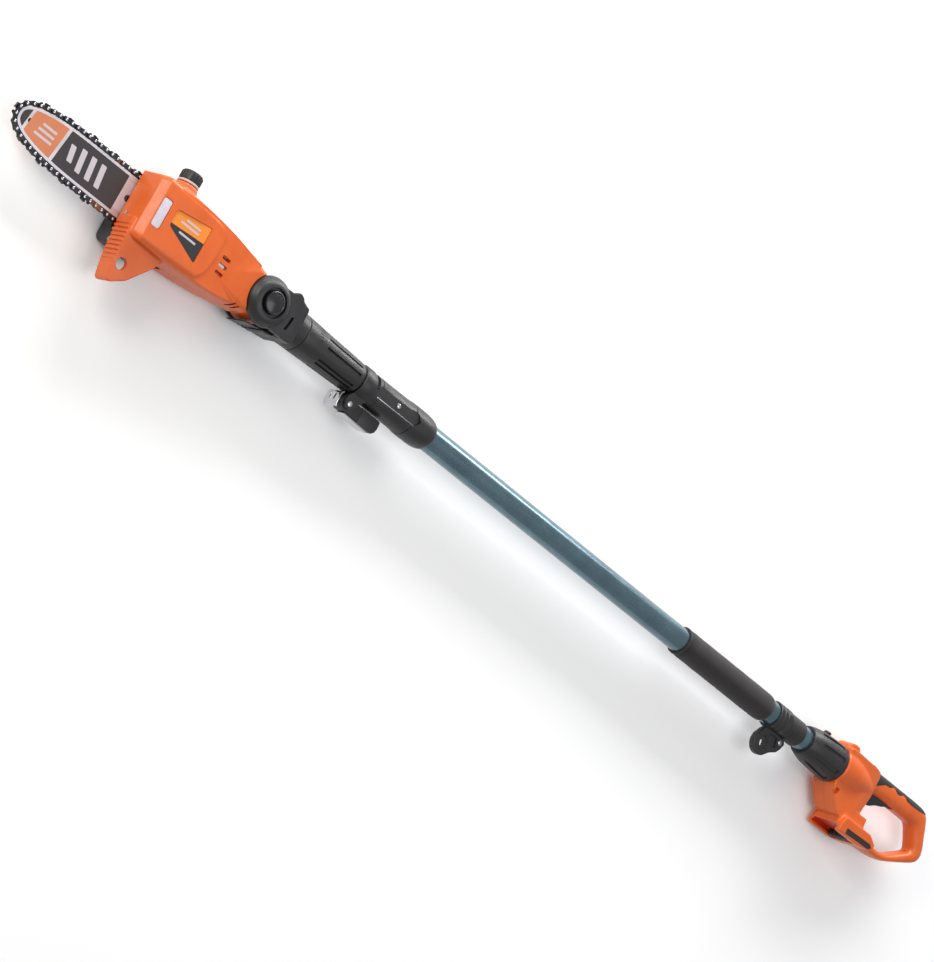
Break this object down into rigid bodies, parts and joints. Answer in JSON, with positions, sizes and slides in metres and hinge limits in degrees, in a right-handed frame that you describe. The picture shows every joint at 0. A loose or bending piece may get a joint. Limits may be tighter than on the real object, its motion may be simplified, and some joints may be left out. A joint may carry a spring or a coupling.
{
  "type": "telescoping pole saw",
  "caption": "Battery chain saw on a telescoping pole: tilting saw head with bar and chain, lever clamp, foam grip, strap ring, twist collar and D-handle with trigger.",
  "frame": {"origin": "centre of the bounding box on the ground plane, the floor the tool lies on", "axes": "+X along the pole from the bar to the handle, +Y the tool top, the side of the oil cap and the lock-off button, +Z the tool left-hand side, upwards as it lies"},
  "size_m": [1.9225, 0.169, 0.0756],
  "materials": {
    "orange": "moulded, fine texture",
    "black_plastic": "moulded, fine texture",
    "black_gloss": "smooth moulded",
    "rubber": "soft moulded",
    "foam": "closed-cell foam",
    "tube_paint": "dark anodised",
    "bare_aluminium": "drawn",
    "steel": "ground",
    "dark_steel": "blued",
    "bright": "polished",
    "bronze": "sintered",
    "milky": "translucent moulded",
    "board": "laminate",
    "can": "zinc plated"
  },
  "bodies": {
    "pole": {"outer_tube": "tube_paint", "clamp_body": "black_plastic", "clamp_guard": "bright", "clamp_screw": "steel", "lever_pin": "steel", "foam_grip": "foam", "strap_ring": "black_plastic", "ring_screw": "steel", "rubber_sleeve": "rubber", "handle_shell_left": "orange", "handle_shell_right": "orange", "handle_screw_1": "steel", "handle_screw_2": "steel", "grip_rubber": "rubber", "trigger_pin": "steel", "switch_box": "black_plastic", "control_board": "board", "terminal_block": "black_plastic", "power_lead": "rubber"},
    "front_pole": {"inner_tube": "bare_aluminium", "neck_sleeve": "black_plastic", "yoke_left": "black_plastic", "yoke_right": "black_plastic", "pivot_bolt": "steel", "button_spring": "steel"},
    "saw_head": {"head_shell_left": "orange", "head_shell_right": "orange", "head_screw_1": "steel", "head_screw_2": "steel", "oil_window": "milky", "side_label": "black_plastic", "oil_tank": "milky", "cap_seal": "rubber", "oil_pump": "can", "sprocket_cover": "black_plastic", "bar_stud": "steel", "shaft_bearing": "steel", "shaft_bush": "bronze", "motor_can": "can"},
    "drive": {"drive_sprocket": "steel", "sprocket_shaft": "steel", "crown_gear": "steel"},
    "rotor": {"bevel_pinion": "steel", "motor_shaft": "steel"},
    "bar": {"guide_bar": "steel", "saw_chain": "dark_steel", "nose_rivet": "steel", "tension_block": "steel"},
    "nose": {"nose_sprocket": "steel"},
    "tensioner": {"tension_screw": "steel"},
    "cap": {"oil_cap": "black_plastic"},
    "nut": {"cover_nut": "steel"},
    "tilt_button": {"pivot_button": "black_gloss"},
    "lever": {"clamp_lever": "black_plastic", "lever_plate": "steel"},
    "pad": {"brake_pad": "rubber"},
    "trigger_lever": {"trigger": "black_plastic"},
    "lock_button": {"lock_off_button": "black_gloss"},
    "collar": {"twist_collar": "black_plastic"},
    "nub": {"collar_button": "black_gloss"}
  },
  "joints": [
    {"name": "pole_slide", "type": "slide", "parent": "pole", "child": "front_pole", "axis": [-1, 0, 0], "range_m": [0, 0.6]},
    {"name": "head_tilt", "type": "hinge", "parent": "front_pole", "child": "saw_head", "pos_m": [-0.55085, 0.0155, 0.037], "axis": [0, 0, 1], "range_deg": [-45, 0]},
    {"name": "tilt_button_press", "type": "slide", "parent": "front_pole", "child": "tilt_button", "axis": [0, 0, -1], "range_m": [0, 0.004], "stiffness_N_per_m": 800, "springref_m": -0.002, "deforming": ["button_spring"]},
    {"name": "sprocket_spin", "type": "hinge", "parent": "saw_head", "child": "drive", "pos_m": [-0.72185, 0.0155, 0.037], "axis": [0, 0, 1], "continuous": true},
    {"name": "motor_spin", "type": "hinge", "parent": "saw_head", "child": "rotor", "pos_m": [-0.67085, 0.0155, 0.0443], "axis": [1, 0, 0], "continuous": true},
    {"name": "bar_slide", "type": "slide", "parent": "saw_head", "child": "bar", "axis": [-1, 0, 0], "range_m": [-0.003, 0.001]},
    {"name": "tension_turn", "type": "hinge", "parent": "saw_head", "child": "tensioner", "pos_m": [-0.75585, -0.0015, 0.039], "axis": [1, 0, 0], "range_deg": [-1352, 452]},
    {"name": "nose_spin", "type": "hinge", "parent": "bar", "child": "nose", "pos_m": [-0.93585, 0.0155, 0.027], "axis": [0, 0, 1], "continuous": true},
    {"name": "oil_cap_turn", "type": "hinge", "parent": "saw_head", "child": "cap", "pos_m": [-0.72385, 0.0845, 0.049], "axis": [0, 1, 0], "range_deg": [0, 540]},
    {"name": "cover_nut_turn", "type": "hinge", "parent": "saw_head", "child": "nut", "pos_m": [-0.75785, 0.0155, 0.0077], "axis": [0, 0, -1], "range_deg": [0, 1440]},
    {"name": "lever_swing", "type": "hinge", "parent": "pole", "child": "lever", "pos_m": [-0.36285, -0.0175, 0.037], "axis": [0, 0, 1], "range_deg": [-90, 0]},
    {"name": "pad_slide", "type": "slide", "parent": "pole", "child": "pad", "axis": [0, -1, 0], "range_m": [0, 0.001]},
    {"name": "trigger_pull", "type": "hinge", "parent": "pole", "child": "trigger_lever", "pos_m": [0.85715, 0.0205, 0.037], "axis": [0, 0, -1], "range_deg": [0, 7], "stiffness_Nm_per_rad": 2, "springref_deg": -5.73},
    {"name": "lock_off_press", "type": "slide", "parent": "pole", "child": "lock_button", "axis": [0, -1, 0], "range_m": [0, 0.0035], "stiffness_N_per_m": 600, "springref_m": -0.002},
    {"name": "collar_turn", "type": "hinge", "parent": "pole", "child": "collar", "pos_m": [0.71215, 0.0155, 0.037], "axis": [1, 0, 0], "range_deg": [0, 60]},
    {"name": "collar_button_press", "type": "slide", "parent": "collar", "child": "nub", "axis": [0, -1, 0], "range_m": [0, 0.0025], "stiffness_N_per_m": 600, "springref_m": -0.002}
  ],
  "couplings": [
    {"joint": "motor_spin", "follows": "sprocket_spin", "ratio": 4},
    {"joint": "nose_spin", "follows": "sprocket_spin", "ratio": 0.6},
    {"joint": "tension_turn", "follows": "bar_slide", "rad_per_m": 7854},
    {"joint": "pad_slide", "follows": "lever_swing", "m_per_rad": -0.000636}
  ]
}
